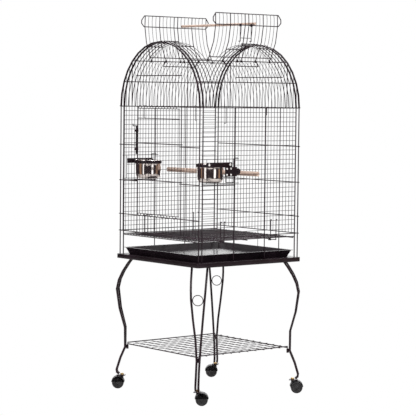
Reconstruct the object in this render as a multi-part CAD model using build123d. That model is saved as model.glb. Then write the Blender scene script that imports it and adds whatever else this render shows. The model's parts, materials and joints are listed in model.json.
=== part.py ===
from build123d import *
from math import atan2, cos, degrees, radians, sin, sqrt, tan
import os

# Victorian bird cage with an open play top, on a rolling stand.
# Millimetres. Z is up, the floor is Z = 0, the main door faces -Y.

# ---- driving dimensions ----

# wires
post_d = 5.0            # corner posts and end arches
bar_d = 4.0             # bars, rails and door-frame wires
mesh_w = 2.4            # mesh wires, drawn square
door_bar_d = 3.2        # cross wires of the main door
weld_step = 1.2         # how far a mesh wire passes the bar it is welded to
weld_gap = 0.1          # left between the stand's rods and what is welded to them

# cage body
cage_w = 488.0          # over the corner post centres, both ways
corner_inset = 15.5     # side panel posts stand this far in from the corner posts
mesh_cells = 27         # mesh gaps across a front panel and up a side panel
base_top = 529.0
mesh_bottom = 620.8     # lowest bar round the cage
dome_base = 1103.0
grate_rail_z = 686.0    # bar under the main door
mid_bar_z = 955.0
low_bar_z = 817.0
side_bay = 152.3        # from a side panel's end post to its middle upright

# dome
arch_bar_rise = 117.0   # cross bar in each arched end wall
arch_bar_half = 141.0
opening_half = 157.0    # half length of the top opening
low_rail_deg = 22.5
hinge_deg = 45.0
upper_rail_deg = 67.5
roof_step = 11.25       # a bent roof wire is drawn with one facet per step
roof_pitch = 17.88
flap_cells = 17
flap_open_deg = 81.0
flap_edge_deg = 88.5    # where a closed flap ends, measured like the rails
flap_foot_deg = 49.0    # first cross wire above the hinge
flap_loop_deg = 78.6    # lower bar of the window band along the free edge
flap_mid_deg = 63.8     # where a flap wire bends between those two
loop_over = 13.0        # how far that band passes the flap's side wires
stop_len = 25.0

# base, tray and grate
base_rim = 10.0         # how far the base stands out past the post centres
base_h = 17.0
base_wall = 2.5
tray_room_x = 22.0      # from the tray's mouth out to the post centres
tray_room_y = 9.0
tray_h = 27.0
tray_wall = 2.0
tray_taper = 24.0
tray_lip = 4.0
grate_room_x = 12.0     # from the grate's edge out to the post centres
grate_room_y = 8.0
hook_spans = ((-133.0, -116.0), (114.0, 141.0))     # the grate's hooks, along each side
grate_z = 606.0
grate_hook_reach = 12.0

# stand
leg_rod_d = 8.0
stem_xy = 236.0
leg_ring_od = 42.0
leg_ring_d = 3.2
leg_ring_z = 393.0
shelf_z = 178.0
shelf_cells = 11
sleeve_od = 9.0
sleeve_drop = 6.0       # from the shelf down to a sleeve
sleeve_len = 16.0
foot_plate_t = 3.0
foot_plate_z = 50.0

# casters
wheel_d = 46.0
wheel_w = 14.0
trail = 16.0
web_t = 7.0
hood_t = 1.6
hood_gap = 1.2
wheel_gap = 0.5
axle_d = 6.0
stem_d = 8.0
nut_across = 12.1
nut_h = 6.0

# feeder doors, cups and perches
feeder_top = 912.0
feeder_bottom = 822.0
feeder_room = 16.5      # from the side panel's front post to the feeder door's mesh
feeder_len = 128.0
feeder_tip_over = 26.0  # how far the long wires pass the door's rear edge
cup_d = 100.0
cup_h = 72.0
cup_wall = 0.8
cup_rim = 1.5
cup_shoulder = 9.0
cup_top = 893.0
cup_out = 54.5          # cup centre behind the door wires
cup_room = 62.0         # cup centre behind the feeder door's front edge
cup_plate_half = 61.0   # half length of the cup's back plate
band_t = 2.0
band_h = 12.0
top_perch_d = 10.0
top_perch_over = 3.0
bail_drop = 60.0
bail_d = 3.0
inner_perch_d = 18.0
inner_perch_left_y = -12.0
inner_perch_room = 35.2     # its right end stands this far in front of the middle upright

# clearances
run_gap = 0.3           # between wires of different bodies
bore_gap = 0.08         # radial, round a turning pin

# ---- worked out ----
half = cage_w / 2
base_w = cage_w + 2 * base_rim
tray_x = cage_w - 2 * tray_room_x
tray_y = cage_w - 2 * tray_room_y
grate_half_x = half - grate_room_x
grate_half_y = half - grate_room_y
side_y = half - corner_inset
mid_post_y = side_y - side_bay
feeder_side_front = feeder_room - side_y
feeder_side_rear = feeder_side_front + feeder_len
feeder_tip = feeder_side_rear + feeder_tip_over
cup_y = feeder_side_front + cup_room
inner_perch_right_y = mid_post_y - inner_perch_room
front_pitch = cage_w / mesh_cells
side_pitch = (dome_base - mesh_bottom) / mesh_cells     # side panel wires, one above the other
door_edge = 7.5 * front_pitch
weld_front = half + post_d / 2                  # plane where front and back wires meet
weld_side = half - post_d / 2                   # the same plane of the side panels
mesh_front = weld_front - mesh_w / 2
bar_front = weld_front + bar_d / 2
frame_front = weld_front - bar_d / 2
mesh_side = weld_side - mesh_w / 2
bar_side = weld_side - bar_d / 2
mid_side = weld_side + bar_d / 2
flat_half = bar_d / 2 * tan(radians(22.5))      # half the width of a bar's flat
weld_roof = weld_side + mesh_w                  # roof wires lie below it, rails above
rail_r = weld_roof + bar_d / 2
flap_half = flap_cells / 2 * roof_pitch
os.makedirs("parts", exist_ok=True)


def save(name, *solids):
    export_step(Compound(children=list(solids)), f"parts/{name}.step")


# ---- plain wires: round sections are drawn with a few flats ----
def section(d, pin=False):
    """Flats touch the circle from outside; those of a turning pin lie inside it."""
    sides = 6 if d < 4 else 8 if d < 12 else 12 if d < 30 else 20
    turn = 180 / sides if sides > 6 else 0
    return RegularPolygon(d / 2, sides, major_radius=pin, rotation=turn)


def bar(d, length, pin=False):
    return extrude(section(d, pin), length / 2, both=True)


def rod_x(x0, x1, y, z, d):
    return Pos((x0 + x1) / 2, y, z) * Rot(0, 90, 0) * bar(d, abs(x1 - x0))


def rod_y(y0, y1, x, z, d):
    return Pos(x, (y0 + y1) / 2, z) * Rot(90, 0, 0) * bar(d, abs(y1 - y0))


def rod_z(z0, z1, x, y, d, pin=False):
    return Pos(x, y, (z0 + z1) / 2) * bar(d, abs(z1 - z0), pin)


def strip(x0, x1, y0, y1, z0, z1):
    return Pos((x0 + x1) / 2, (y0 + y1) / 2, (z0 + z1) / 2) * Box(abs(x1 - x0), abs(y1 - y0), abs(z1 - z0))


def mesh_z(z0, z1, x, y):
    return strip(x - mesh_w / 2, x + mesh_w / 2, y - mesh_w / 2, y + mesh_w / 2, z0, z1)


def mesh_y(y0, y1, x, z):
    return strip(x - mesh_w / 2, x + mesh_w / 2, y0, y1, z - mesh_w / 2, z + mesh_w / 2)


def bent_rod(points, d):
    path = Polyline(*points)
    start = Plane(origin=path @ 0, x_dir=(0, 1, 0), z_dir=path % 0)
    return sweep(start * section(d), path=path, transition=Transition.RIGHT)


# ---- roof geometry: angles climb from the dome base, right side 0, crown 90 ----
def on_arc(radius, deg):
    return radius * cos(radians(deg)), dome_base + radius * sin(radians(deg))


def roof_wire(y, *angles, width=mesh_w):
    """One bent roof wire, drawn as straight facets between two concentric arcs."""
    inner = [on_arc(weld_side, a) for a in angles]
    outer = [on_arc(weld_side + width, a) for a in reversed(angles)]
    outline = make_face(Polyline(*inner, *outer, close=True))
    return Pos(0, y, 0) * Rot(90, 0, 0) * extrude(outline, width / 2, both=True)


def roof_steps(deg0, deg1):
    return [deg0 + roof_step * i for i in range(round((deg1 - deg0) / roof_step) + 1)]


def end_arch(y):
    """An arch as thick as the posts that it stands on, in four pieces."""
    return [roof_wire(y, *roof_steps(deg, deg + 45), width=post_d) for deg in (0, 45, 90, 135)]


def cross_rod(y0, y1, x, z, d, deg):
    """Rod along Y with a flat towards the wires below it, whose slope that angle gives."""
    return Pos(x, (y0 + y1) / 2, z) * Rot(0, -deg, 0) * Rot(90, 0, 0) * bar(d, abs(y1 - y0))


def rail(y0, y1, deg, d=bar_d):
    return cross_rod(y0, y1, *on_arc(weld_roof + d / 2, deg), d, deg)


def rail_end(sign, y0, deg, d=bar_d):
    """The end of a rail, cut where it meets the two arches."""
    inner_face = side_y - post_d / 2
    pieces = [rail(sign * (side_y + post_d / 2), sign * (half - post_d / 2), deg, d)]
    return pieces + ([rail(sign * y0, sign * inner_face, deg, d)] if y0 < inner_face else [])


def about_hinge(x, z, turn):
    """Turn a point about the right-hand hinge rail; positive closes the flap."""
    hx, hz = on_arc(rail_r, hinge_deg)
    c, s = cos(radians(turn)), sin(radians(turn))
    return hx + c * (x - hx) - s * (z - hz), hz + s * (x - hx) + c * (z - hz)


# ---- base ----
def base():
    z0 = base_top - base_h
    shell = Pos(0, 0, z0 + base_h / 2) * Box(base_w, base_w, base_h)
    shell = chamfer(shell.edges().filter_by(Axis.Z), 5)
    inner = base_w - 2 * base_wall
    shell -= Pos(0, 0, z0 + (base_h - base_wall) / 2) * Box(inner, inner, base_h - base_wall)
    return shell


def tray():
    """Slide-out droppings tray: walls lean out to a rolled lip."""
    foot = Pos(0, 0, base_top) * Rectangle(tray_x - tray_taper, tray_y - tray_taper)
    mouth = Pos(0, 0, base_top + tray_h) * Rectangle(tray_x, tray_y)
    body = loft([foot.face(), mouth.face()])
    inner_foot = Pos(0, 0, base_top + tray_wall) * Rectangle(
        tray_x - tray_taper - 2 * tray_wall, tray_y - tray_taper - 2 * tray_wall)
    inner_mouth = Pos(0, 0, base_top + tray_h) * Rectangle(tray_x - 2 * tray_wall, tray_y - 2 * tray_wall)
    body -= loft([inner_foot.face(), inner_mouth.face()])
    lip = Rectangle(tray_x + 2 * tray_lip, tray_y + 2 * tray_lip)
    lip -= Rectangle(tray_x - 2 * tray_wall, tray_y - 2 * tray_wall)
    return body + Pos(0, 0, base_top + tray_h - tray_wall) * extrude(lip, tray_wall)


def grate():
    """Slide-out floor: close wires running front to back on five cross wires."""
    wires = []
    count = int(grate_half_x // front_pitch)
    for k in range(-count, count):
        wires.append(mesh_y(-grate_half_y, grate_half_y, (k + 0.5) * front_pitch, grate_z + mesh_w / 2))
    for side in (-1, 1):
        wires.append(rod_y(-grate_half_y, grate_half_y, side * grate_half_x, grate_z + bar_d / 2, bar_d))
    for i in range(5):
        y = (grate_half_y - 4) * (i / 2 - 1)
        wires.append(rod_x(-grate_half_x - bar_d / 2, grate_half_x + bar_d / 2, y, grate_z - bar_d / 2, bar_d))
    return wires


# ---- stand ----
leg_top_in = 69.2       # from a corner of the base in to the tops of its rods
leg_bow_r = 353.0       # distance of the rods from the cage's middle, along the diagonal
leg_waist_r = 322.0
leg_foot_r = 355.0
leg_foot_z = 74.0
leg_spread_top = 29.0   # rods' distance to either side of the diagonal
leg_spread_waist = 5.6
leg_bracket_t = 3.0
tab_drop = sleeve_drop + sleeve_len / 2     # where a sleeve's tab meets the rods, at their waist
leg_bends = (4, 3, 2, 2)    # straight facets between the heights a rod passes through
leg_top_lean = 0.75     # how steeply a rod leaves the base, outward per unit down
leg_top_tilt = leg_rod_d / 2 * sin(atan2(leg_top_lean, 1)) + weld_gap
leg_top_r = base_w / sqrt(2) - leg_top_in
stem_r = stem_xy * sqrt(2)


def leg_rod(side):
    """One rod of a leg, standing in the diagonal plane X, with Y to the side."""
    ring_spread = leg_ring_od / 2 + leg_rod_d / 2 + weld_gap
    points = [
        (leg_top_r, side * leg_spread_top, base_top - base_wall - leg_bracket_t - leg_top_tilt),
        (leg_bow_r, side * ring_spread, leg_ring_z),
        (leg_waist_r, side * leg_spread_waist, shelf_z - tab_drop),
        (leg_foot_r, side * leg_spread_waist, leg_foot_z),
        (stem_r + stem_d + 3, side * leg_spread_waist, foot_plate_z + foot_plate_t + leg_rod_d / 2),
    ]
    curve = Spline(*points, tangents=[(leg_top_lean, 0, -1), (-1, 0, -0.35)])
    knots = [curve.param_at_point(point) for point in points]
    course = [curve @ (knots[i] + (knots[i + 1] - knots[i]) * k / bends)
              for i, bends in enumerate(leg_bends) for k in range(bends)]
    return bent_rod([*course, points[-1]], leg_rod_d)


def leg(turn):
    z_plate = foot_plate_z + foot_plate_t / 2
    plate = Pos(stem_r + 4, 0, z_plate) * Box(34, 26, foot_plate_t)
    plate -= Pos(stem_r, 0, z_plate) * bar(stem_d + 2 * bore_gap, foot_plate_t)
    ring = RegularPolygon(leg_ring_od / 2, 12) - RegularPolygon(leg_ring_od / 2 - leg_ring_d, 12)
    ring = Pos(leg_bow_r, 0, leg_ring_z) * Rot(0, 90, 0) * extrude(ring, leg_ring_d / 2, both=True)
    bracket_z = base_top - base_wall
    sleeve_r = leg_waist_r - leg_rod_d / 2 - sleeve_od / 2
    sleeve_z = shelf_z - sleeve_drop
    sleeve = rod_z(sleeve_z - sleeve_len, sleeve_z, sleeve_r, 0, sleeve_od)
    sleeve -= rod_z(sleeve_z - sleeve_len, sleeve_z, sleeve_r, 0, post_d + 2 * run_gap)
    tab_y = leg_spread_waist - leg_rod_d / 2 - weld_gap
    tab_z = shelf_z - tab_drop
    tab = strip(sleeve_r + sleeve_od / 2 - 1, leg_waist_r, -tab_y, tab_y, tab_z - 4, tab_z + 4)
    sleeve += tab
    rods = [leg_rod(-1), leg_rod(1)]
    cap = strip(leg_top_r - 22, leg_top_r + 16, -leg_spread_top - 9, leg_spread_top + 9,
                bracket_z - leg_bracket_t, bracket_z)
    return [Rot(0, 0, turn) * piece for piece in (*rods, ring, plate, sleeve, cap)]


def shelf():
    """Wire shelf whose corner pins drop into the sleeves of the legs."""
    reach = (leg_waist_r - leg_rod_d / 2 - sleeve_od / 2) / sqrt(2)
    pitch = 2 * reach / shelf_cells
    wires = []
    for i in range(1, shelf_cells):
        at = -reach + i * pitch
        wires.append(mesh_y(-reach - 2, reach + 2, at, shelf_z + mesh_w / 2))
        wires.append(strip(-reach - 2, reach + 2, at - mesh_w / 2, at + mesh_w / 2, shelf_z - mesh_w, shelf_z))
    for side in (-1, 1):
        wires.append(rod_y(-reach, reach, side * reach, shelf_z + post_d / 2, post_d))
        wires.append(rod_x(-reach, reach, side * reach, shelf_z - post_d / 2, post_d))
    for sx in (-1, 1):
        for sy in (-1, 1):
            pin_end = shelf_z - sleeve_drop - sleeve_len
            wires.append(rod_z(pin_end, shelf_z - post_d, sx * reach, sy * reach, post_d))
    return wires


# ---- casters ----
def caster_housing(x, y, turn):
    """Hood, web and stem of a twin-wheel caster, trailing along its own +X."""
    r_in = wheel_d / 2 + hood_gap
    r_out = r_in + hood_t
    width = web_t + 2 * wheel_w + 2
    axle = Pos(trail, 0, wheel_d / 2) * Rot(90, 0, 0)
    web = axle * bar(wheel_d - 6, web_t)
    hollow = axle * bar(2 * r_in, width)
    hood = axle * bar(2 * r_out, width) - hollow
    hood -= strip(trail - r_out, trail + r_out, -width, width, -r_out, wheel_d / 2 + 4)
    spine = strip(trail - r_out + 1, trail + r_out - 1, -web_t / 2, web_t / 2, wheel_d / 2, wheel_d / 2 + r_out)
    spine &= axle * bar(2 * r_in + hood_t, web_t)
    housing = web + spine + hood
    housing += rod_z(wheel_d / 2 + 8, foot_plate_z - 1, 0, 0, stem_d + 3) - hollow
    housing += rod_z(foot_plate_z - 2, foot_plate_z + foot_plate_t + nut_h, 0, 0, stem_d, pin=True)
    housing -= axle * bar(axle_d + 2 * bore_gap, width)
    return Pos(x, y, 0) * Rot(0, 0, turn) * housing


def caster_wheels(x, y, turn):
    """Both wheels and the axle that they are pressed onto, turning together."""
    inner = web_t / 2 + wheel_gap
    wheel = Pos(0, 0, inner + wheel_w / 2) * bar(wheel_d, wheel_w)
    place = Pos(x, y, 0) * Rot(0, 0, turn) * Pos(trail, 0, wheel_d / 2) * Rot(90, 0, 0)
    return [place * wheel, place * mirror(wheel, Plane.XY), place * bar(axle_d, 2 * inner, pin=True)]


def stem_nut(x, y):
    z0 = foot_plate_z + foot_plate_t
    nut = Pos(x, y, z0) * extrude(RegularPolygon(nut_across / 2, 6, major_radius=False), nut_h)
    return nut - rod_z(z0, z0 + nut_h, x, y, stem_d + 2 * bore_gap)


# ---- wire panels ----
def front_uprights(sign):
    """Corner posts shared by both ends; sign -1 is the door end."""
    y = sign * half
    return [rod_z(base_top, dome_base, sx * half, y, post_d) for sx in (-1, 1)]


def front_panel():
    """Door panel: mesh beside and below the doorway, with bars on the outside."""
    wires = front_uprights(-1)
    for k in range(13):
        x = (k + 0.5) * front_pitch
        for at in (-x, x):
            if x < door_edge - 1:
                wires.append(mesh_z(mesh_bottom - weld_step, grate_rail_z + weld_step, at, -mesh_front))
            elif x > door_edge + 1:
                wires.append(mesh_z(mesh_bottom - weld_step, dome_base + weld_step, at, -mesh_front))
    foot = mesh_bottom - bar_d / 2
    for side in (-1, 1):
        wires.append(rod_z(foot, dome_base + weld_step, side * door_edge, -frame_front, bar_d))
        for z in (mid_bar_z, low_bar_z):
            wires.append(rod_x(side * (door_edge - bar_d / 2), side * (half + 2), -bar_front, z, bar_d))
    for z in (mesh_bottom, grate_rail_z, dome_base):
        wires.append(rod_x(-half - 2, half + 2, -bar_front, z, bar_d))
    return wires


def back_panel():
    """Plain end panel; three of its wires run on down to the base."""
    wires = front_uprights(1)
    for k in range(13):
        x = (k + 0.5) * front_pitch
        for at in (-x, x):
            if abs(x - door_edge) > 1:
                foot = base_top if k == 0 and at > 0 else mesh_bottom - weld_step
                wires.append(mesh_z(foot, dome_base + weld_step, at, mesh_front))
    for side in (-1, 1):
        wires.append(rod_z(base_top, dome_base + weld_step, side * door_edge, frame_front, bar_d))
    for z in (mesh_bottom, grate_rail_z, low_bar_z, mid_bar_z, dome_base):
        wires.append(rod_x(-half - 2, half + 2, bar_front, z, bar_d))
    return wires


def side_panel(side):
    """Side panel of level wires, with a feeder doorway behind its front post."""
    wires = []
    for y in (-side_y, side_y):
        wires.append(rod_z(base_top, dome_base, side * half, y, post_d))
    for y in (-mid_post_y, mid_post_y):
        wires.append(rod_z(base_top, dome_base, side * mid_side, y, bar_d))
    for j in range(1, mesh_cells):
        z = dome_base - j * side_pitch
        beside_door = feeder_bottom - bar_d < z < feeder_top
        start = -mid_post_y - weld_step if beside_door else -side_y - weld_step
        wires.append(mesh_y(start, side_y + weld_step, side * mesh_side, z))
    for z in (mesh_bottom, dome_base - flat_half):
        wires.append(rod_y(-weld_front, weld_front, side * bar_side, z, bar_d))
    sill_z = feeder_bottom - 2 * bar_d
    wires.append(rod_y(-side_y - 2, -mid_post_y + 2, side * bar_side, sill_z, bar_d))
    return wires


def grate_hooks(side):
    """Two wire stirrups that hang on the side panel and carry the grate."""
    hooks = []
    over_x = side * weld_side
    x = side * (weld_side - bar_d - door_bar_d / 2)
    toe_x = x - side * grate_hook_reach
    foot_z = grate_z - bar_d - run_gap - door_bar_d / 2
    top_z = mesh_bottom + 3 * side_pitch + mesh_w / 2 + door_bar_d / 2
    for y0, y1 in hook_spans:
        points = [(over_x, y0, top_z), (x, y0, top_z), (x, y0, foot_z), (toe_x, y0, foot_z),
                  (toe_x, y1, foot_z), (x, y1, foot_z), (x, y1, top_z), (over_x, y1, top_z)]
        hooks.append(bent_rod(points, door_bar_d))
    return hooks


# ---- dome ----
def arched_end(sign):
    """Arched end wall: a round arch filled with upright wires."""
    y = sign * half
    arch = end_arch(y)
    rim = make_face(Polyline(*[on_arc(weld_side, deg) for deg in roof_steps(0, 180)], close=True))
    under_arch = Rot(90, 0, 0) * extrude(rim, weld_front, both=True)
    for k in range(-13, 13):
        x = (k + 0.5) * front_pitch
        arch.append(mesh_z(dome_base + weld_step, dome_base + half, x, sign * mesh_front) & under_arch)
    arch.append(rod_x(-arch_bar_half, arch_bar_half, sign * bar_front, dome_base + arch_bar_rise, bar_d))
    return arch


def roof_side(side):
    """Lower part of the vault, from the dome base up to the hinge rail."""
    wires = []
    for k in range(-8, 9):
        wires.append(roof_wire(k * roof_pitch, *roof_steps(0, hinge_deg)))
    inner_face = side_y - post_d / 2
    for deg in (low_rail_deg, hinge_deg):
        wires.append(rail(-inner_face, inner_face, deg))
        wires += rail_end(-1, half, deg) + rail_end(1, half, deg)
    return wires if side > 0 else [mirror(wire, Plane.YZ) for wire in wires]


def roof_end(sign):
    """Fixed strip of roof between the top opening and an arched end."""
    wires = []
    for deg0 in (0, 45, 90, 135):
        for k in range(4):
            y = sign * (opening_half + k * roof_pitch)
            wires.append(roof_wire(y, *roof_steps(deg0, deg0 + 45)))
    wires += end_arch(sign * side_y)
    y0 = opening_half - mesh_w / 2
    for deg in (upper_rail_deg, 180 - upper_rail_deg):
        wires += rail_end(sign, y0, deg)
    return wires + rail_end(sign, y0, 90, post_d)


def flap_wires():
    """The right-hand flap, standing open, with the perch on its window band."""
    curled = (0, 4, 8, 9, 13, 17)
    hx, hz = on_arc(rail_r, hinge_deg)
    swing = Pos(hx, 0, hz) * Rot(0, flap_open_deg, 0) * Pos(-hx, 0, -hz)
    pin_d = bar_d + 2 * run_gap
    pieces = []
    for i in range(flap_cells + 1):
        y = i * roof_pitch - flap_half
        start = [hinge_deg] if i in curled else []
        wire = swing * roof_wire(y, *start, flap_foot_deg, flap_mid_deg, flap_loop_deg, flap_edge_deg)
        if i in curled:
            wire += rod_y(y - mesh_w / 2, y + mesh_w / 2, hx, hz, pin_d + 2 * mesh_w)
            wire -= rod_y(y - mesh_w, y + mesh_w, hx, hz, pin_d)
        pieces.append(wire)
    stop = flap_stop()
    for i in (4, 13):
        stop -= pieces[i]
    stop -= rod_y(-flap_half, flap_half, hx, hz, pin_d + 2 * mesh_w)
    y0 = flap_half + mesh_w / 2
    for deg in (flap_foot_deg, flap_loop_deg, flap_edge_deg):
        x, z = flap_bar(deg)
        pieces.append(cross_rod(-y0, y0, x, z, bar_d, deg - flap_open_deg))
    return pieces + [stop, window_end(-1, y0), window_end(1, y0)]


def window_end(side, y0):
    """Bowed end of the window band, closing it beyond the last wire."""
    x0, z0 = flap_bar(flap_loop_deg)
    x1, z1 = flap_bar(flap_edge_deg)
    y1 = side * (y0 + loop_over)
    bow = [(x0, side * y0, z0)]
    for t in (0.3, 0.6):
        bow.append((x0 + (x1 - x0) * t, y1, z0 + (z1 - z0) * t))
    bow.append((x1, side * y0, z1))
    return bent_rod(bow, bar_d - 0.4) - strip(x0 - 20, x0 + 20, -y0, y0, z0 - 20, z1 + 20)


def flap_stop():
    """Wire bow that bears on the roof outside the hinge and holds the flap open."""
    y = 4.5 * roof_pitch
    over_rail = rail_r + bar_d / 2 + run_gap + door_bar_d / 2
    on_roof = weld_roof + run_gap + door_bar_d / 2
    head_x, head_z = on_arc(over_rail, hinge_deg + 0.5)
    foot_x, foot_z = on_arc(on_roof, hinge_deg - degrees(stop_len / rail_r))
    points = [(head_x, -y, head_z), (foot_x, -y, foot_z), (foot_x, y, foot_z), (head_x, y, head_z)]
    return bent_rod(points, door_bar_d)


def flap_bar(deg):
    return about_hinge(*on_arc(rail_r, deg), -flap_open_deg)


def closing_bail():
    """Two-leg hook that hangs on the right flap and ties the flaps together when shut."""
    x, z = flap_bar(flap_loop_deg)
    eye_r = bar_d / 2 + run_gap
    y0 = -2 * roof_pitch
    y1 = roof_pitch
    pieces = []
    for y in (y0, y1):
        eye = rod_y(y - 2, y + 2, x, z, 2 * eye_r + 6) - rod_y(y - 3, y + 3, x, z, 2 * eye_r)
        leg_path = [(x, y, z - eye_r - 1), (x, y, z - bail_drop), (x - 9, y, z - bail_drop)]
        pieces.append(eye + bent_rod(leg_path, bail_d))
    corner = bail_d / 2 / cos(radians(30))
    pieces.append(rod_y(y0 + corner, y1 - corner, x, z - bail_drop + 12, bail_d - 0.4))
    return pieces


def top_perch():
    """Dowel resting on the lower bars of both window bands, a groove near each end."""
    x, z = flap_bar(flap_loop_deg)
    y = 2 * roof_pitch
    zc = z + bar_d / 2 + run_gap + top_perch_d / 2
    reach = x + top_perch_over
    dowel = rod_x(-reach, reach, y, zc, top_perch_d)
    for side in (-1, 1):
        at = side * (reach - 7)
        outside = rod_x(at - 1.5, at + 1.5, y, zc, top_perch_d + 2)
        dowel -= outside - rod_x(at - 2, at + 2, y, zc, top_perch_d - 4)
    return dowel


# ---- main door ----
def hinge_wire(x0, z, y):
    """Cross wire that ends in an eye round the door-frame wire at the right."""
    eye_d = bar_d + 2 * run_gap
    wire = rod_x(x0, door_edge, y, z, door_bar_d)
    wire += rod_z(z - 1.6, z + 1.6, door_edge, -frame_front, eye_d + 5)
    return wire - rod_z(z - 3, z + 3, door_edge, -frame_front, eye_d)


door_top = dome_base - 7.0
door_bottom = grate_rail_z + 8.0
door_left = -door_edge + 5.0
door_right = door_edge - 9.5
door_face = weld_front + 2 * run_gap            # plane where the door's own wires meet
latch_d = 6.0
latch_y = -(door_face + door_bar_d + run_gap + latch_d / 2)
latch_z0 = 920.0
latch_z1 = 1030.0
clip_h = 8.0
clip_zs = (latch_z0 + 15, latch_z1 - 24)


def main_door():
    """Big door of upright wires, hung on the right door-frame wire."""
    wires = []
    y_mesh = -(door_face - mesh_w / 2)
    y_bar = -(door_face + door_bar_d / 2)
    for k in range(-7, 7):
        wires.append(mesh_z(door_bottom - weld_step, door_top + weld_step, (k + 0.5) * front_pitch, y_mesh))
    for x in (door_left, door_right):
        wires.append(mesh_z(door_bottom - weld_step, door_top + weld_step, x, y_mesh))
    for z in (mid_bar_z + 8, low_bar_z + 6):
        wires.append(hinge_wire(-door_edge - 15, z, y_bar))
    for z in (door_bottom, door_top - 38, door_top):
        wires.append(rod_x(door_left - weld_step, door_right + weld_step, y_bar, z, door_bar_d))
    for z in clip_zs:
        clip = strip(door_left - 5, door_left + 5, latch_y - latch_d / 2 - 2, -door_face, z, z + clip_h)
        wires.append(clip - rod_z(z - 1, z + clip_h + 1, door_left, latch_y, latch_d + 2 * bore_gap))
    return wires


def main_latch():
    """Long wire bolt that turns in two clips; its top arm reaches across the frame wire."""
    x = door_left
    rod = rod_z(latch_z0, latch_z1, x, latch_y, latch_d, pin=True)
    arm = [(x, latch_y, latch_z1 - 2), (x - 22, latch_y, latch_z1 - 2), (x - 22, latch_y, latch_z1 + 6)]
    rod += bent_rod(arm, door_bar_d)
    collar_z = clip_zs[0] + clip_h + run_gap
    return rod + rod_z(collar_z, collar_z + 2, x, latch_y, latch_d + 3)


# ---- feeder doors, drawn for the right side and mirrored for the left ----
feeder_wire_x = weld_side + bar_d + 2 * run_gap + mesh_w / 2
feeder_face = feeder_wire_x + mesh_w / 2
cup_x = feeder_wire_x - mesh_w / 2 - cup_out
plate_y0 = -128.0
plate_y1 = -71.0
plate_z0 = 847.0
plate_z1 = 883.0
plate_t = 2.0
bolt_t = 2.0
bolt_z = (plate_z0 + plate_z1) / 2
bolt_knob_y = -64.0
bolt_r = 12.0
bolt_travel = 27.0
knob_d = 8.0
holder_z0 = cup_top - band_h
holder_back = feeder_wire_x - mesh_w / 2


def feeder_door():
    """Small door of level wires, hung on the front post, with the cup ring behind it."""
    x = feeder_wire_x
    eye_d = post_d + 2 * run_gap
    wires = []
    for z in (feeder_top, feeder_bottom):
        wire = mesh_y(-side_y, feeder_tip, x, z)
        wire += rod_z(z - mesh_w / 2, z + mesh_w / 2, half, -side_y, eye_d + 2 * mesh_w)
        wires.append(wire - rod_z(z - mesh_w, z + mesh_w, half, -side_y, eye_d))
    for z in (feeder_bottom + 18, feeder_top - 36, feeder_top - 18):
        wires.append(mesh_y(feeder_side_front + mesh_w / 2, feeder_side_rear - mesh_w / 2, x, z))
    for y in (feeder_side_front, feeder_side_rear):
        wires.append(mesh_z(feeder_bottom + mesh_w / 2, feeder_top - mesh_w / 2, x, y))
    return wires + [cup_ring(), latch_cover(), door_pull()]


def cup_ring():
    """Flat plate against the door wires and the hoop that the cup drops into."""
    y0, y1 = cup_y - cup_plate_half, cup_y + cup_plate_half
    plate = strip(holder_back - band_t, holder_back, y0, y1, holder_z0, holder_z0 + 19)
    hoop = rod_z(holder_z0, cup_top, cup_x, cup_y, cup_d + 1 + 2 * band_t)
    bore = rod_z(holder_z0 - 1, cup_top + 20, cup_x, cup_y, cup_d + 1)
    hoop -= strip(holder_back - band_t, holder_back + cup_d, cup_y - cup_d, cup_y + cup_d, holder_z0, cup_top)
    return plate + (hoop - bore)


def latch_cover():
    """Riveted channel that the feeder door's bolt slides in."""
    depth = bolt_t + 2 * run_gap
    x0 = feeder_face
    cover = strip(x0, x0 + depth + plate_t, plate_y0, plate_y1, plate_z0, plate_z1)
    cover -= strip(x0 - 1, x0 + depth, plate_y0 - 1, plate_y1 + 1, plate_z0 + 2, plate_z1 - 2)
    slot_end = bolt_knob_y - bolt_travel - knob_d
    return cover - strip(x0, x0 + depth + 2 * plate_t, slot_end, plate_y1 + 1, bolt_z - knob_d, bolt_z + knob_d)


def door_pull():
    """U of wire under the latch cover for pulling the door open."""
    x = feeder_face + door_bar_d / 2
    z0 = feeder_bottom + 3
    points = [(x, -123, plate_z0), (x, -123, z0), (x, -86, z0), (x, -86, plate_z0)]
    return bent_rod(points, 3.0)


def feeder_bolt():
    """Flat bolt with a round nose and a knob, lying over the middle upright."""
    x0 = feeder_face + run_gap
    nose = Pos(x0 + bolt_t / 2, bolt_knob_y, bolt_z) * Rot(0, 90, 0) * bar(2 * bolt_r, bolt_t)
    shank = strip(x0, x0 + bolt_t, -118, bolt_knob_y, bolt_z - 9, bolt_z + 9)
    knob = Pos(x0 + bolt_t + 3, bolt_knob_y, bolt_z) * Rot(0, 90, 0) * bar(knob_d, 6)
    return shank + nose + knob


def cup():
    """Steel feeding cup: straight wall drawn in to a smaller foot, with a rolled rim."""
    shell = cup_form(cup_d, cup_h) - Pos(0, 0, cup_wall) * cup_form(cup_d - 2 * cup_wall, cup_h)
    rim = bar(cup_d + 2 * cup_rim, cup_rim) - bar(cup_d - 2 * cup_wall, cup_rim)
    rim = Pos(0, 0, cup_h - cup_rim / 2) * rim
    return Pos(cup_x, cup_y, cup_top + run_gap - cup_h + cup_rim) * (shell + rim)


def cup_form(d, height):
    form = Pos(0, 0, height / 2) * bar(d, height)
    return chamfer(form.faces().sort_by(Axis.Z)[0].edges(), cup_shoulder)


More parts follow.
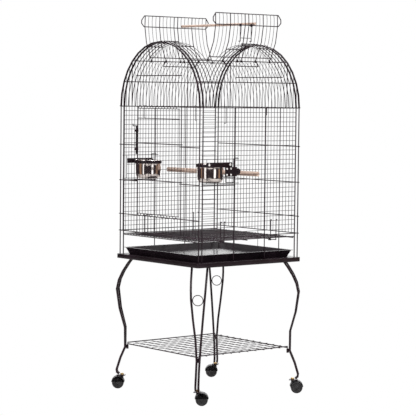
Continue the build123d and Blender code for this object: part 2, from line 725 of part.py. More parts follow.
def inner_perch():
    """Dowel across the cage; a slot in each end straddles one side wire."""
    wire_z = dome_base - 14 * side_pitch
    run = 2 * (weld_side + 1.5)
    skew = degrees(atan2(inner_perch_right_y - inner_perch_left_y, run))
    length = run / cos(radians(skew))
    dowel = Rot(0, 90, 0) * bar(inner_perch_d, length)
    for side in (-1, 1):
        dowel -= Pos(side * length / 2, 0, 0) * Box(12, inner_perch_d + 2, mesh_w + 2 * run_gap)
    mid_y = (inner_perch_left_y + inner_perch_right_y) / 2
    return Pos(0, mid_y, wire_z) * Rot(0, 0, skew) * dowel


# ---- every node ----
save("base", base())
save("tray", tray())
save("grate", *grate())
save("shelf", *shelf())
corners = {"front_left": (-1, -1), "front_right": (1, -1), "rear_right": (1, 1), "rear_left": (-1, 1)}
caster_turn = {"front_left": 231, "front_right": 51, "rear_right": 51, "rear_left": 231}
for name, (sx, sy) in corners.items():
    save(f"leg_{name}", *leg(degrees(atan2(sy, sx))))
    save(f"caster_{name}", caster_housing(sx * stem_xy, sy * stem_xy, caster_turn[name]))
    save(f"wheels_{name}", *caster_wheels(sx * stem_xy, sy * stem_xy, caster_turn[name]))
save("stem_nuts", *[stem_nut(sx * stem_xy, sy * stem_xy) for sx, sy in corners.values()])
save("front_panel", *front_panel())
save("back_panel", *back_panel())
save("front_arch", *arched_end(-1))
save("back_arch", *arched_end(1))
save("roof_front", *roof_end(-1))
save("roof_back", *roof_end(1))
for name, side in {"left": -1, "right": 1}.items():
    save(f"{name}_panel", *side_panel(side))
    save(f"{name}_grate_hooks", *grate_hooks(side))
    save(f"roof_{name}", *roof_side(side))
flap = flap_wires()
save("flap_right", *flap)
save("flap_left", *[mirror(piece, Plane.YZ) for piece in flap])
save("closing_bail", *closing_bail())
save("top_perch", top_perch())
save("inner_perch", inner_perch())
save("main_door", *main_door())
save("main_door_latch", main_latch())
feeder = {"feeder_door": feeder_door(), "feeder_bolt": [feeder_bolt()], "cup": [cup()]}
for name, pieces in feeder.items():
    save(f"{name}_right", *pieces)
    save(f"{name}_left", *[mirror(piece, Plane.YZ) for piece in pieces])
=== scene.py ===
import json
from math import cos, pi, radians, sin, tan

import bmesh
import bpy
from mathutils import Matrix, Vector
from mathutils.bvhtree import BVHTree

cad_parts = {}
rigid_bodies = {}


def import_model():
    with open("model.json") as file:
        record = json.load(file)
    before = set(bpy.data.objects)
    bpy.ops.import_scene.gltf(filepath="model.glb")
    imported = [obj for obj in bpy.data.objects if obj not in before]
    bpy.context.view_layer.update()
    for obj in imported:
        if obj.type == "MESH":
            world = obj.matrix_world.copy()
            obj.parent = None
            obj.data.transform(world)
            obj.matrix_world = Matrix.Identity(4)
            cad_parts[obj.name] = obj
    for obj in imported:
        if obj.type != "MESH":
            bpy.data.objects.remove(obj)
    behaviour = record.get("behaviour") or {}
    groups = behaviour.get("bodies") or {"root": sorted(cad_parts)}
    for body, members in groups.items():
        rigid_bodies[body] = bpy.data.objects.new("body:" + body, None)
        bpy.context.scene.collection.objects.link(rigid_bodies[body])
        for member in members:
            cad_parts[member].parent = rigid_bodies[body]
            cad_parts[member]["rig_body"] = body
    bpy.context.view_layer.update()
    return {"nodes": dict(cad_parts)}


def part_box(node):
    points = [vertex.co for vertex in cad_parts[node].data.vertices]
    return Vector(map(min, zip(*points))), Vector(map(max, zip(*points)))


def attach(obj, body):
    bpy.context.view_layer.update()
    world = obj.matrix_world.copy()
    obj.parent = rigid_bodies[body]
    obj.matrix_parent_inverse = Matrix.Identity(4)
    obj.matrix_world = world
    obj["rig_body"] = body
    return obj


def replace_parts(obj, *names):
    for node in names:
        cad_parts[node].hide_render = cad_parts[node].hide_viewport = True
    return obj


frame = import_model()
nodes = frame["nodes"]
scene = bpy.context.scene


# ---- camera ----
# A long lens a little above the middle of the cage, seen across its front right
# corner. The cage stands almost exactly in the middle of a square picture.
picture_px = 416
camera_azimuth = radians(50.88)
camera_far = 6.697
camera_height = 1.150
camera_pitch = radians(-3.64)
camera_roll = radians(0.604)
focal_px = 1733.0
middle_px = (208.64, 204.97)

camera_data = bpy.data.cameras.new("camera")
camera_data.sensor_width = 36.0
camera_data.lens = focal_px / picture_px * camera_data.sensor_width
camera_data.shift_x = 0.5 - middle_px[0] / picture_px
camera_data.shift_y = middle_px[1] / picture_px - 0.5
camera_data.clip_end = 60.0
camera = bpy.data.objects.new("camera", camera_data)
scene.collection.objects.link(camera)
scene.camera = camera
turn = Matrix.Rotation(camera_azimuth, 4, "Z") @ Matrix.Rotation(pi / 2 + camera_pitch, 4, "X")
camera.matrix_world = turn @ Matrix.Rotation(camera_roll, 4, "Z")
camera.location = (sin(camera_azimuth) * camera_far, -cos(camera_azimuth) * camera_far, camera_height)


# ---- shader sums ----
# Node outputs are wrapped so that a finish reads as ordinary arithmetic.
def add_node(tree, kind, settings, inputs, output=0):
    made = tree.nodes.new(kind)
    for key, value in settings.items():
        setattr(made, key, value)
    for key, value in inputs.items():
        if isinstance(value, Shade):
            tree.links.new(value.output, made.inputs[key])
        else:
            made.inputs[key].default_value = value
    return Shade(tree, made.outputs[output])


class Shade:
    """One output of a shader node, usable in sums with numbers and other outputs."""

    def __init__(self, tree, output):
        self.tree = tree
        self.output = output

    def maths(self, operation, *values):
        return add_node(self.tree, "ShaderNodeMath", {"operation": operation}, dict(enumerate(values)))

    def __add__(self, other):
        return self.maths("ADD", self, other)

    def __mul__(self, other):
        return self.maths("MULTIPLY", self, other)

    def __truediv__(self, other):
        return self.maths("DIVIDE", self, other)

    def most(self, other):
        """The larger of the two."""
        return self.maths("MAXIMUM", self, other)

    def step(self, low, high):
        """0 below low, 1 above high, smooth between."""
        return add_node(self.tree, "ShaderNodeMapRange", {"interpolation_type": "SMOOTHSTEP"},
                        {"Value": self, "From Min": low, "From Max": high})

    def between(self, low_colour, high_colour):
        """The colour that lies between two others, self being 0 for the first and 1 for the second."""
        return add_node(self.tree, "ShaderNodeMix", {"data_type": "RGBA"},
                        {0: self, 6: low_colour, 7: high_colour}, output=2)

    def stretched(self, *scale):
        """A position, scaled along each axis."""
        return add_node(self.tree, "ShaderNodeVectorMath", {"operation": "MULTIPLY"}, {0: self, 1: scale})

    def noise(self, scale, detail=2.0):
        """Cloudy noise from 0 to 1 at this position, with scale in waves per metre."""
        settings = {"Vector": self, "Scale": scale, "Detail": detail}
        return add_node(self.tree, "ShaderNodeTexNoise", {}, settings)


def new_finish(name, **constants):
    """An empty material: its shader, with constants set on it, and the position to work from."""
    material = bpy.data.materials.new(name)
    material.use_nodes = True
    tree = material.node_tree
    shader = tree.nodes["Principled BSDF"]
    for key, value in constants.items():
        shader.inputs[key.replace("_", " ").title().replace("Ior", "IOR")].default_value = value
    position = add_node(tree, "ShaderNodeTexCoord", {}, {}, output="Object")
    return material, shader, position


def feed(shader, **looks):
    """Link what changes over the surface to the shader."""
    for key, value in looks.items():
        shader.id_data.links.new(value.output, shader.inputs[key.replace("_", " ").title()])


def bumps(height, depth_m):
    """A bump map of that height and depth in metres."""
    settings = {"Strength": 1.0, "Distance": depth_m, "Height": height}
    return add_node(height.tree, "ShaderNodeBump", {}, settings)


def powder_coat(name, dark, light, roughness):
    """Baked black powder: an orange-peel skin with faint cloudy and rubbed patches."""
    material, shader, position = new_finish(
        name, specular_ior_level=0.24, coat_weight=0.04, coat_roughness=0.12)
    cloud = position.noise(14.0, 4.0)
    grain = position.noise(1100.0, 1.0)
    rubbed = (cloud * 0.75 + grain * 0.25).step(0.42, 0.72)
    feed(shader, base_color=rubbed.between(dark, light))
    feed(shader, roughness=cloud * 0.22 + (roughness - 0.11))
    feed(shader, normal=bumps(grain, 0.00006))
    return material


def wear(name, material):
    """Give a CAD node that finish."""
    for place in nodes[name].material_slots:
        place.material = material


# ---- wire work ----
# Drawn steel wire, round, spot-welded at each crossing and then powder coated. Every
# wire of the CAD, drawn there with a few flats, is redrawn round along its own course.
wire_black = powder_coat("wire_black", (0.012, 0.005, 0.009, 1), (0.034, 0.017, 0.026, 1), 0.42)
sides_of_wire = 10
mesh_radius = 0.00125       # wires up to this size are mesh, drawn in the CAD as square
drawn_down = 0.80           # a round wire next to the square bar that stands for it
thin_roof = 0.72            # the roof's wires are drawn finer than the walls'
gentle_bend = radians(62)   # bends up to this size are drawn as one curve
doubled_back = radians(150) # no wire bends this far at one point
thick_share = 0.9           # bars are drawn a little finer than the flats that enclose them
end_share = 0.7             # radius at the very end of a wire, where its edge is rounded


def loose_pieces(name):
    """The separate solids of a node, each as its own small mesh with flat faces joined."""
    shape = bmesh.new()
    shape.from_mesh(nodes[name].data)
    bmesh.ops.remove_doubles(shape, verts=shape.verts, dist=1e-6)
    shape.verts.index_update()
    shape.faces.index_update()
    taken = set()
    for start in shape.verts:
        if start.index in taken:
            continue
        reached = {start.index: start}
        newest = [start]
        while newest:
            beside = [e.other_vert(v) for v in newest for e in v.link_edges]
            newest = list({v.index: v for v in beside if v.index not in reached}.values())
            reached.update((v.index, v) for v in newest)
        taken.update(reached)
        piece = bmesh.new()
        copies = {i: piece.verts.new(v.co) for i, v in reached.items()}
        faces = {f.index: f for v in reached.values() for f in v.link_faces}
        for face in faces.values():
            piece.faces.new([copies[v.index] for v in face.verts])
        piece.normal_update()
        bmesh.ops.dissolve_limit(piece, angle_limit=radians(0.5), verts=piece.verts, edges=piece.edges)
        yield piece
    shape.free()


def course_of(piece):
    """Centre line and radius of a solid that is one section swept along, or None."""
    cap = min(piece.faces, key=lambda f: f.calc_area())
    count = len(cap.verts)
    radius = (cap.calc_area() / (count * tan(pi / count))) ** 0.5
    seen = set(cap.verts)
    ring = list(cap.verts)
    line = [cap.calc_center_median()]
    while len(seen) < len(piece.verts):
        beside = dict.fromkeys(e.other_vert(v) for v in ring for e in v.link_edges)
        ring = [v for v in beside if v not in seen]
        if len(ring) != count:
            return None
        seen.update(ring)
        line.append(sum((v.co for v in ring), Vector()) / count)
    if any((b - a).angle(c - b, pi) > doubled_back for a, b, c in zip(line, line[1:], line[2:])):
        return None
    return line, radius


def smooth_course(line, radius):
    """The same line with gentle bends drawn as a curve and sharp ones as small arcs."""
    if len(line) < 3:
        return line
    rounded = [line[0]]
    for before, corner, after in zip(line, line[1:], line[2:]):
        come, go = corner - before, after - corner
        if come.angle(go) < gentle_bend:
            rounded.append(corner)
            continue
        reach = min(2.2 * radius * tan(come.angle(go) / 2), come.length / 2, go.length / 2)
        first, last = corner - come.normalized() * reach, corner + go.normalized() * reach
        rounded += [first.lerp(corner, t).lerp(corner.lerp(last, t), t) for t in (0, 0.25, 0.5, 0.75, 1)]
    if len(rounded) > len(line):
        return rounded
    first = 3 * line[0] - 3 * line[1] + line[2]
    last = 3 * line[-1] - 3 * line[-2] + line[-3]
    held = [first, *line, last]
    curve = []
    for a, b, c, d in zip(held, held[1:], held[2:], held[3:]):
        for t in (0, 1 / 3, 2 / 3):
            curve.append(0.5 * (2 * b + (c - a) * t + (2 * a - 5 * b + 4 * c - d) * t * t
                                + (3 * b - a - 3 * c + d) * t ** 3))
    return [*curve, line[-1]]


def add_tube(shape, line, radius, sides=sides_of_wire):
    """Sweep a circle along a line, into an open mesh, with slightly rounded ends."""
    lead = (line[1] - line[0]).normalized()
    side = lead.orthogonal().normalized()
    start, end = line[0], line[-1]
    tail = (end - line[-2]).normalized()
    soft = 0.3 * radius
    stops = [(start, end_share), (start + lead * soft, 1)]
    stops += [(p, 1) for p in line[1:-1]]
    stops += [(end - tail * soft, 1), (end, end_share)]
    rings = []
    for i, (point, share) in enumerate(stops):
        if 1 < i < len(stops) - 2:
            lead = (stops[i + 1][0] - stops[i - 1][0]).normalized()
        elif i >= len(stops) - 2:
            lead = tail
        side = (side - lead * side.dot(lead)).normalized()
        up = lead.cross(side)
        rings.append([shape.verts.new(point + (side * cos(a) + up * sin(a)) * radius * share)
                      for a in (2 * pi * k / sides for k in range(sides))])
    for low, high in zip(rings, rings[1:]):
        for k in range(sides):
            shape.faces.new((low[k - 1], low[k], high[k], high[k - 1]))
    shape.faces.new(reversed(rings[0]))
    shape.faces.new(rings[-1])


def rolled(solid, width, sharpest=50, segments=2):
    """The solid with its sharp edges rounded, or as it is where that would tear it or stray."""
    inner_caps = [f for f in solid.faces if all(len(e.link_faces) > 2 for e in f.edges)]
    bmesh.ops.delete(solid, geom=inner_caps, context="FACES")
    skin = BVHTree.FromBMesh(solid)
    made = solid.copy()
    sharp = [e for e in made.edges
             if len(e.link_faces) == 2 and e.calc_face_angle() > radians(sharpest)]
    bmesh.ops.bevel(made, geom=sharp, offset=width, segments=segments, affect="EDGES", profile=0.5,
                    clamp_overlap=True)
    closed = all(len(e.link_faces) == 2 for e in made.edges)
    close_by = all(skin.find_nearest(v.co, width)[0] is not None for v in made.verts)
    return made if closed and close_by else solid


def new_piece(name, shape, finish, body, smooth=50, place=Matrix()):
    """Turn an open mesh into an object of the scene that rides on a body."""
    mesh = bpy.data.meshes.new(name)
    shape.to_mesh(mesh)
    shape.free()
    mesh.polygons.foreach_set("use_smooth", [True] * len(mesh.polygons))
    mesh.set_sharp_from_angle(angle=radians(smooth))
    mesh.materials.append(finish)
    piece = bpy.data.objects.new(name, mesh)
    scene.collection.objects.link(piece)
    piece.matrix_world = place
    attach(piece, body)
    return piece


def join(shape, piece):
    """Add a loose solid's faces to an open mesh."""
    copies = {v: shape.verts.new(v.co) for v in piece.verts}
    for face in piece.faces:
        shape.faces.new([copies[v] for v in face.verts])


def round_wires(name, finish):
    """Redraw a node of wires in round wire, in place of the node."""
    shape = bmesh.new()
    fine = thin_roof if name.startswith(("roof", "flap")) else drawn_down
    for piece in loose_pieces(name):
        course = course_of(piece)
        if course:
            line, radius = course
            share = fine if radius < mesh_radius else thick_share
            add_tube(shape, smooth_course(line, radius), radius * share)
        else:
            join(shape, rolled(piece, 0.0004))
        piece.free()
    made = new_piece(name + "_wires", shape, finish, nodes[name]["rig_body"])
    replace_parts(made, name)
    return made


for name in ("front_panel", "back_panel", "left_panel", "right_panel", "front_arch", "back_arch",
             "roof_front", "roof_back", "roof_left", "roof_right", "grate", "main_door", "flap_left",
             "flap_right", "shelf", "left_grate_hooks", "right_grate_hooks", "closing_bail"):
    round_wires(name, wire_black)


# ---- loose wire ends ----
# Wire ends the fitter bends over by hand: curls above and below every second wire of
# the main door, and short hooks for toys that hang from the bar under the dome.
def bent_wire(name, points, thickness, body):
    """A round wire through those points, its sharp corners drawn as small bends."""
    shape = bmesh.new()
    radius = thickness / 2
    add_tube(shape, smooth_course([Vector(p) for p in points], radius), radius)
    new_piece(name, shape, wire_black, body)


door_low, door_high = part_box("main_door")
cage_w, mesh_cells = 0.488, 27
curl = 0.0075               # how far a curl bulges
curl_wire = 0.0024
curl_y = door_high.y - curl_wire / 2
for k in range(-7, 7, 2):
    x = (k + 0.5) * cage_w / mesh_cells
    for end, way, name in ((door_high.z, 1, "top"), (door_low.z, -1, "bottom")):
        root = end - way * curl_wire / 2
        bends = ((0, 0), (0, 1), (1, 1.4), (2, 0), (1, -1))     # (forwards, away from the door) in curls
        hook = [(x, curl_y - out * curl, root + way * away * curl) for out, away in bends]
        bent_wire(f"door_curl_{name}_{k + 7}", hook, curl_wire, "main_door")

dome_bar_x, dome_bar_z = 0.2395, 1.103
hook_wire = 0.0024
over_bar = ((0, 0.0032), (0.0046, 0.0032), (0.0036, -0.006))    # (inwards, up) from the bar
toe = ((0.0036, 0), (0.011, -0.003), (0.013, 0.007))            # the same from the hook's foot
toy_hooks = {"right_front": (1, -0.113, 0.057), "right_rear": (1, 0.087, 0.027),
             "left_front": (-1, -0.138, 0.045), "left_rear": (-1, 0.119, 0.056)}
for name, (side, y, drop) in toy_hooks.items():
    hook = [(side * (dome_bar_x - inwards), y, dome_bar_z + rise) for inwards, rise in over_bar]
    hook += [(side * (dome_bar_x - inwards), y, dome_bar_z - drop + rise) for inwards, rise in toe]
    bent_wire(f"toy_hook_{name}", hook, hook_wire, "cage_and_stand")


# ---- screws ----
# Round-headed bright screws that clamp the cup plates and the latch covers to the wires,
# and the wire keeper that the latch of each feeder door closes on.
screw_steel, shader, position = new_finish("screw_steel", metallic=1.0)
scratches = position.noise(400.0, 3.0)
feed(shader, base_color=scratches.between((0.80, 0.79, 0.78, 1), (0.96, 0.95, 0.94, 1)))
feed(shader, roughness=scratches * 0.2 + 0.40)


dome_share = 0.55           # height of a head, as a share of its radius, and so below
slot_half, slot_reach, slot_depth = 0.12, 0.62, 0.16


def screw(name, body, x, y, z, side, radius):
    """A domed head with a cross slot, facing outwards from the side panel."""
    shape = bmesh.new()
    bmesh.ops.create_uvsphere(shape, u_segments=20, v_segments=12, radius=radius)
    low = [v for v in shape.verts if v.co.z < -1e-6]
    bmesh.ops.delete(shape, geom=low, context="VERTS")
    for v in shape.verts:
        v.co.z *= dome_share
        off = min(abs(v.co.x), abs(v.co.y))
        if off < radius * slot_half and v.co.xy.length < radius * slot_reach:
            v.co.z -= radius * slot_depth
    rim = [e for e in shape.edges if e.is_boundary]
    bmesh.ops.contextual_create(shape, geom=rim)
    place = Matrix.Translation((x, y, z)) @ Matrix.Rotation(side * pi / 2, 4, "Y")
    new_piece(name, shape, screw_steel, body, smooth=45, place=place)


plate_face, cover_face, keeper_x = 0.2461, 0.2531, 0.2525
cup_screws = ((-0.199, 0.8915), (-0.098, 0.8915))
latch_screws = ((-0.119, 0.8535), (-0.119, 0.8765), (-0.100, 0.8535), (-0.100, 0.8765))
keeper_bends = ((-0.0865, 0.8832), (-0.0865, 0.916), (-0.0660, 0.916), (-0.0660, 0.8832))
keeper_wire = 0.0026
for side, way in ((1, "right"), (-1, "left")):
    body = f"feeder_door_{way}"
    for i, (y, z) in enumerate(cup_screws):
        screw(f"cup_screw_{way}_{i}", body, side * plate_face, y, z, side, 0.0056)
    for i, (y, z) in enumerate(latch_screws):
        screw(f"latch_screw_{way}_{i}", body, side * cover_face, y, z, side, 0.0038)
    keeper = [(side * keeper_x, y, z) for y, z in keeper_bends]
    bent_wire(f"latch_keeper_{way}", keeper, keeper_wire, body)


# ---- stand ----
# Thicker bent rods with their rings, foot plates and shelf sleeves, in the same black, a
# little glossier than the thin wire because the coat lies flatter on them.
rod_black = powder_coat("rod_black", (0.010, 0.004, 0.007, 1), (0.028, 0.014, 0.020, 1), 0.24)
corners = {"front_left": (-1, -1), "front_right": (1, -1), "rear_right": (1, 1), "rear_left": (-1, 1)}


ring_corners = 48           # corners of the twelve-sided ring that stands for a hoop
ring_wire = 0.0032


def eased(line):
    """The same line with each inner point drawn a little towards its neighbours."""
    inner = [a * 0.2 + b * 0.6 + c * 0.2 for a, b, c in zip(line, line[1:], line[2:])]
    return [line[0], *inner, line[-1]]


def hoop_from(piece, shape, thickness):
    """Redraw a flat ring as a ring of round wire."""
    middle = sum((v.co for v in piece.verts), Vector()) / len(piece.verts)
    outer = max((v.co - middle).length for v in piece.verts)
    radial = (max(piece.verts, key=lambda v: (v.co - middle).length).co - middle).normalized()
    flat = max(piece.faces, key=lambda f: f.calc_area()).normal
    across = flat.cross(radial).normalized()
    wide, thin = outer - thickness / 2, thickness / 2
    turns, sides = 40, 10
    rings = []
    for i in range(turns):
        out = radial * cos(2 * pi * i / turns) + across * sin(2 * pi * i / turns)
        rings.append([shape.verts.new(middle + out * (wide + thin * cos(2 * pi * k / sides))
                                      + flat * thin * sin(2 * pi * k / sides)) for k in range(sides)])
    for i in range(turns):
        for k in range(sides):
            shape.faces.new((rings[i - 1][k - 1], rings[i - 1][k], rings[i][k], rings[i][k - 1]))


for name in nodes:
    if name.startswith("leg_"):
        shape = bmesh.new()
        for piece in loose_pieces(name):
            course = course_of(piece)
            if course and len(course[0]) > 3:
                line, radius = course
                add_tube(shape, smooth_course(eased(eased(line)), radius), radius, 16)
            elif len(piece.verts) == ring_corners:
                hoop_from(piece, shape, ring_wire)
            else:
                join(shape, rolled(piece, 0.0008))
            piece.free()
        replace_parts(new_piece(name + "_rods", shape, rod_black, nodes[name]["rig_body"]), name)


# ---- base and tray ----
# Pressed sheet: the base with its rolled shoulder and short skirt, and the tray with
# walls that lean out to a rolled lip. The tray's floor has a glossier, smoother coat.
sheet_black = powder_coat("sheet_black", (0.008, 0.004, 0.006, 1), (0.018, 0.010, 0.015, 1), 0.34)
tray_black = powder_coat("tray_black", (0.010, 0.006, 0.009, 1), (0.024, 0.015, 0.021, 1), 0.20)


def rolled_copy(name, finish, width, segments=3):
    """A copy of a node with its sharp edges rolled over, in place of the node."""
    shape = bmesh.new()
    shape.from_mesh(nodes[name].data)
    bmesh.ops.remove_doubles(shape, verts=shape.verts, dist=1e-6)
    bmesh.ops.dissolve_limit(shape, angle_limit=radians(0.5), verts=shape.verts, edges=shape.edges)
    shape = rolled(shape, width, 25, segments)
    made = new_piece(name + "_rolled", shape, finish, nodes[name]["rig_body"], smooth=35)
    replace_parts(made, name)
    return made


rolled_copy("base", sheet_black, 0.0011)
rolled_copy("tray", tray_black, 0.0009)
for name in ("feeder_bolt_left", "feeder_bolt_right"):
    rolled_copy(name, sheet_black, 0.0005, 2)
for name in ("feeder_door_left", "feeder_door_right"):
    round_wires(name, sheet_black)
round_wires("main_door_latch", sheet_black)


# ---- casters ----
# Moulded black nylon wheels and hoods, matt, with fine mould grain. The wheels are
# turned forms with a soft tread and a dished face; the hood arches over both.
plastic, shader, position = new_finish("caster_plastic")
scuff = position.noise(60.0, 5.0)
feed(shader, base_color=scuff.step(0.45, 0.75).between((0.010, 0.010, 0.011, 1), (0.040, 0.039, 0.040, 1)))
feed(shader, roughness=scuff * 0.3 + 0.32, normal=bumps(position.noise(2500.0, 1.0), 0.00004))


def turned(name, profile, finish, place, body, steps=40):
    """A form turned about its own Z: profile is (radius, height) from one end to the other."""
    shape = bmesh.new()
    rings = []
    for radius, height in profile:
        if radius < 1e-6:
            rings.append([shape.verts.new((0, 0, height))])
        else:
            turns = [2 * pi * k / steps for k in range(steps)]
            rings.append([shape.verts.new((radius * cos(a), radius * sin(a), height)) for a in turns])
    for low, high in zip(rings, rings[1:]):
        for k in range(steps):
            around = [low[(k - 1) % len(low)], low[k % len(low)],
                      high[k % len(high)], high[(k - 1) % len(high)]]
            shape.faces.new(list(dict.fromkeys(around)))
    bmesh.ops.recalc_face_normals(shape, faces=shape.faces)
    bmesh.ops.transform(shape, matrix=place, verts=shape.verts)
    return new_piece(name, shape, finish, body, smooth=30)


wheel_r = 0.023
wheel_w = 0.014
web_half = 0.0035
wheel_in = web_half + 0.0005
wheel_profile = [(0.0, 0.0), (0.019, 0.0), (0.0212, 0.0006), (0.0226, 0.0022), (wheel_r, 0.0046),
                 (wheel_r, wheel_w - 0.0046), (0.0226, wheel_w - 0.0022), (0.0208, wheel_w - 0.0005),
                 (0.0192, wheel_w), (0.0180, wheel_w - 0.0002), (0.0166, wheel_w - 0.0016),
                 (0.0080, wheel_w - 0.0022), (0.0066, wheel_w - 0.0008), (0.0052, wheel_w - 0.0003),
                 (0.0, wheel_w - 0.0003)]
caster_turn = {"front_left": 231, "front_right": 51, "rear_right": 51, "rear_left": 231}
stem_at = 0.236
trail = 0.016
for name, (sx, sy) in corners.items():
    swivel = Matrix.Translation((sx * stem_at, sy * stem_at, 0))
    swivel @= Matrix.Rotation(radians(caster_turn[name]), 4, "Z")
    axle = swivel @ Matrix.Translation((trail, 0, wheel_r)) @ Matrix.Rotation(pi / 2, 4, "X")
    for side, end in ((1, "near"), (-1, "far")):
        out = axle @ Matrix.Rotation(0 if side > 0 else pi, 4, "X") @ Matrix.Translation((0, 0, wheel_in))
        wheel = turned(f"wheel_{name}_{end}", wheel_profile, plastic, out,
                       f"wheels_{name}")
        if side > 0:
            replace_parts(wheel, f"wheels_{name}")
    rolled_copy(f"caster_{name}", plastic, 0.0006)


# ---- brass nuts ----
# The caster stems are held by plain brass nuts on the foot plates.
brass, shader, position = new_finish("brass", metallic=1.0)
tarnish = position.noise(220.0, 4.0)
feed(shader, base_color=tarnish.between((0.55, 0.36, 0.13, 1), (0.86, 0.64, 0.30, 1)))
feed(shader, roughness=tarnish * 0.3 + 0.2)
rolled_copy("stem_nuts", brass, 0.0005, 2)


# ---- feeding cups ----
# Deep-drawn stainless steel, polished in rings round its own axis, with a rolled rim.
steel, shader, position = new_finish("cup_steel", metallic=1.0)
rings = position.stretched(1.0, 1.0, 40.0).noise(12.0, 2.0)
feed(shader, base_color=rings.between((0.66, 0.61, 0.58, 1), (0.86, 0.81, 0.78, 1)))
feed(shader, roughness=rings * 0.05 + 0.05)
cup_r, cup_tall, cup_wall = 0.050, 0.072, 0.0008
outside = [(0.0, 0.0015), (0.034, 0.0015), (0.037, 0.0), (0.0405, 0.0008), (0.0440, 0.0032),
           (0.0465, 0.0066), (0.0482, 0.0115), (0.0492, 0.020), (cup_r, 0.040), (cup_r, cup_tall - 0.003)]
rolled_rim = [(cup_r + 0.0004, cup_tall - 0.0022), (cup_r + 0.0014, cup_tall - 0.0015),
              (cup_r + 0.0012, cup_tall - 0.0004), (cup_r, cup_tall), (cup_r - cup_wall, cup_tall - 0.0006)]
inside = [(r - cup_wall if r else 0.0, h + cup_wall) for r, h in reversed(outside)]
for side in ("left", "right"):
    low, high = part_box(f"cup_{side}")
    middle = Matrix.Translation(((low.x + high.x) / 2, (low.y + high.y) / 2, low.z))
    profile = outside + rolled_rim + inside
    cup = turned(f"cup_{side}_turned", profile, steel, middle, f"cup_{side}", 64)
    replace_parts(cup, f"cup_{side}")


# ---- perches ----
# Turned hardwood dowels, sanded and left bare, with long pale grain.
def dowel_wood(name, skew):
    """Wood whose grain runs along X, turned by skew about Z."""
    material, shader, position = new_finish(name, roughness=0.6)
    along = add_node(position.tree, "ShaderNodeVectorRotate", {"rotation_type": "Z_AXIS"},
                     {"Vector": position, "Angle": -skew})
    grain = along.stretched(6.0, 160.0, 160.0).noise(1.6, 5.0)
    pores = along.stretched(40.0, 1400.0, 1400.0).noise(1.0, 2.0)
    tone = (grain * 0.75 + pores * 0.25).step(0.3, 0.72)
    feed(shader, base_color=tone.between((0.40, 0.27, 0.21, 1), (0.76, 0.60, 0.51, 1)))
    feed(shader, roughness=grain * 0.2 + 0.45, normal=bumps(pores, 0.00012))
    return material


ease = 0.0012               # rounding at a dowel's ends
groove_half, groove_floor_half, groove_depth = 0.0018, 0.0010, 0.0014


def dowel(name, finish, radius, grooves):
    """A turned dowel along a perch's own course, with eased ends and shallow grooves."""
    low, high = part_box(name)
    middle = (low + high) / 2
    length = high.x - low.x
    profile = [(0.0, 0.0), (radius - ease, 0.0), (radius, ease)]
    for at in grooves:
        profile += [(radius, at - groove_half), (radius - groove_depth, at - groove_floor_half),
                    (radius - groove_depth, at + groove_floor_half), (radius, at + groove_half)]
    profile += [(radius, length - ease), (radius - ease, length), (0.0, length)]
    place = Matrix.Translation((low.x, middle.y, middle.z)) @ Matrix.Rotation(pi / 2, 4, "Y")
    body = nodes[name]["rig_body"]
    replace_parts(turned(name + "_turned", profile, finish, place, body, 32), name)


top_low, top_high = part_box("top_perch")
groove_in = 0.007
top_grooves = (groove_in, top_high.x - top_low.x - groove_in)
dowel("top_perch", dowel_wood("top_perch_wood", 0.0), 0.005, top_grooves)
rolled_copy("inner_perch", dowel_wood("inner_perch_wood", radians(6.2)), 0.0004, 1)


# ---- floor and light ----
# A white studio: the camera sees plain white, while everything else is lit by tall
# bright panels with dark gaps between them, which give polished metal its streaks.
world = bpy.data.worlds.new("room")
scene.world = world
world.use_nodes = True
scene.view_settings.view_transform = "Standard"
tree = world.node_tree


def background(tree, colour, strength):
    return add_node(tree, "ShaderNodeBackground", {}, {"Color": colour, "Strength": strength})


def mix_shaders(tree, share, low, high):
    return add_node(tree, "ShaderNodeMixShader", {}, {0: share, 1: low, 2: high})


direction = add_node(tree, "ShaderNodeTexCoord", {}, {}, output="Generated")
apart = add_node(tree, "ShaderNodeSeparateXYZ", {}, {"Vector": direction}).output.node.outputs
side_x, side_y, up = (Shade(tree, apart[axis]) for axis in "XYZ")
level = up.maths("SQRT", side_x * side_x + side_y * side_y)
dark, warm, white = (0.05, 0.04, 0.045, 1), (0.42, 0.27, 0.18, 1), (1, 1, 1, 1)


def towards(azimuth, edge, core):
    """1 within core degrees of that azimuth (from +X to +Y), fading to 0 at edge."""
    turn = radians(azimuth)
    share = (side_x * cos(turn) + side_y * sin(turn)) / level
    return share.step(cos(radians(edge)), cos(radians(core)))


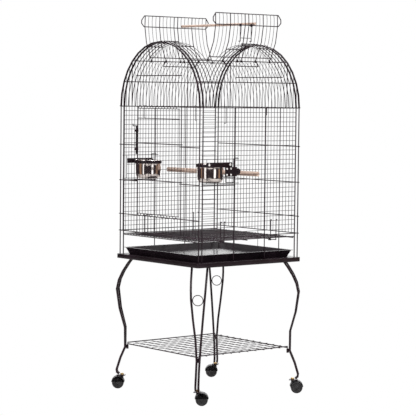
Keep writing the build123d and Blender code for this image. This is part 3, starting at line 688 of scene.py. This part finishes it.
backdrop = towards(141, 34, 22)
left_box = towards(-83, 9, 5)
right_box = towards(2, 11, 6)
ceiling = up.step(0.35, 0.8)
lit = backdrop.most(left_box).most(right_box).most(ceiling)
brown = towards(-113, 15, 8).most(towards(50, 14, 7))
dim = mix_shaders(tree, brown, background(tree, dark, 0.8), background(tree, warm, 1.0))
room = mix_shaders(tree, lit, dim, background(tree, white, 1.7))
seen = add_node(tree, "ShaderNodeLightPath", {}, {}, output="Is Camera Ray")
whole = mix_shaders(tree, seen, room, background(tree, white, 1.0))
tree.links.new(whole.output, tree.nodes["World Output"].inputs["Surface"])

floor_mesh = bpy.data.meshes.new("floor")
reach = 3.0
floor_mesh.from_pydata([(-reach, -reach, 0), (reach, -reach, 0), (reach, reach, 0), (-reach, reach, 0)],
                       [], [(0, 1, 2, 3)])
floor = bpy.data.objects.new("floor", floor_mesh)
scene.collection.objects.link(floor)
floor_white = bpy.data.materials.new("floor_white")
floor_white.use_nodes = True
tree = floor_white.node_tree
paint = tree.nodes["Principled BSDF"]
paint.inputs["Base Color"].default_value = (0.5, 0.48, 0.47, 1)
paint.inputs["Roughness"].default_value = 0.9
glow = tree.nodes.new("ShaderNodeEmission")
glow.inputs["Color"].default_value = (1, 1, 1, 1)
path = tree.nodes.new("ShaderNodeLightPath")
mixer = tree.nodes.new("ShaderNodeMixShader")
tree.links.new(path.outputs["Is Camera Ray"], mixer.inputs[0])
tree.links.new(paint.outputs[0], mixer.inputs[1])
tree.links.new(glow.outputs[0], mixer.inputs[2])
tree.links.new(mixer.outputs[0], tree.nodes["Material Output"].inputs["Surface"])
floor_mesh.materials.append(floor_white)


def soft_lamp(name, azimuth, height, distance, size, watts):
    """A square lamp that looks at the middle of the cage."""
    data = bpy.data.lights.new(name, "AREA")
    data.size = size
    data.energy = watts
    lamp = bpy.data.objects.new(name, data)
    scene.collection.objects.link(lamp)
    lamp.location = (sin(azimuth) * distance, -cos(azimuth) * distance, height)
    aim = Vector((0, 0, 0.8)) - lamp.location
    lamp.rotation_euler = aim.to_track_quat("-Z", "Y").to_euler()
    lamp.visible_camera = False


soft_lamp("key_lamp", radians(85), 2.6, 3.2, 1.4, 60)
soft_lamp("fill_lamp", radians(5), 1.8, 3.4, 1.6, 30)
soft_lamp("rim_lamp", radians(225), 2.8, 3.4, 1.4, 40)
